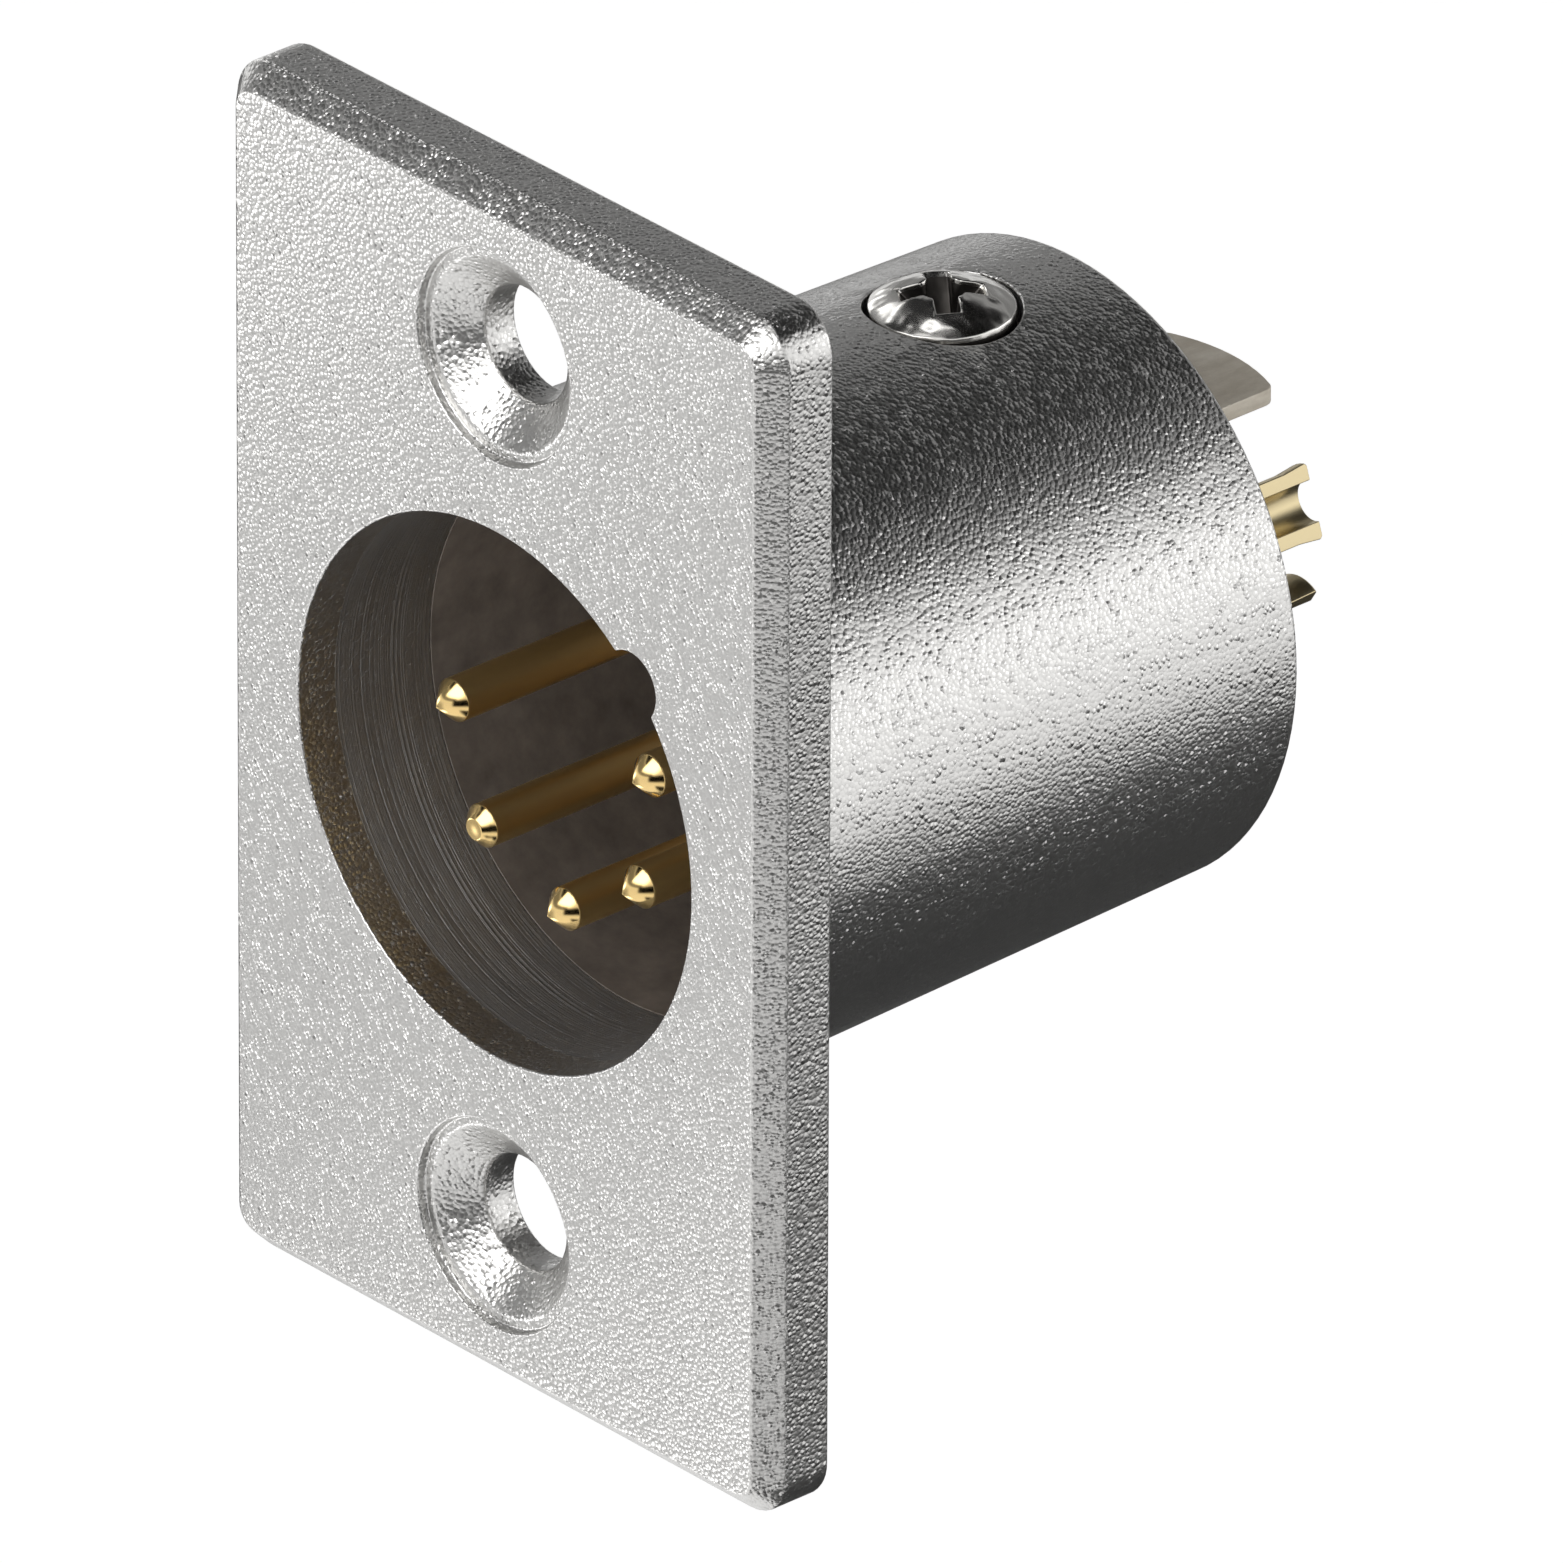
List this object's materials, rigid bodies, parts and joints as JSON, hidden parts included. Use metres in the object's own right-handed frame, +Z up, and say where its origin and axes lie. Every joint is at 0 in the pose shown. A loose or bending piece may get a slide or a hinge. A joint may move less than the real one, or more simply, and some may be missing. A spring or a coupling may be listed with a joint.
{
  "type": "microphone panel connector",
  "caption": "Panel-mounted round connector with a keyed socket, pins inside, solder cups behind and a flange.",
  "frame": {"origin": "midway between the two mounting holes, on the back face of the flange, which lies on the panel", "axes": "+Y along the connector's axis, towards the solder cups at the rear; +Z up, towards the retaining screw; +X to the right as seen from the front"},
  "size_m": [0.0264, 0.0319, 0.043],
  "materials": {
    "plated_casting": "satin nickel plate with the fine grain of the casting under it",
    "black_moulding": "smooth black moulding, slightly glossy",
    "contact_plating": "bright gold plate over turned brass",
    "tab_metal": "dull tin plate over rolled strip",
    "screw_metal": "bright nickel plate"
  },
  "bodies": {
    "root": {"shell": "plated_casting", "insert": "black_moulding", "ground_tab": "tab_metal", "retaining_screw": "screw_metal", "contact_1": "contact_plating", "contact_2": "contact_plating", "contact_3": "contact_plating", "contact_4": "contact_plating", "contact_5": "contact_plating"}
  },
  "joints": []
}
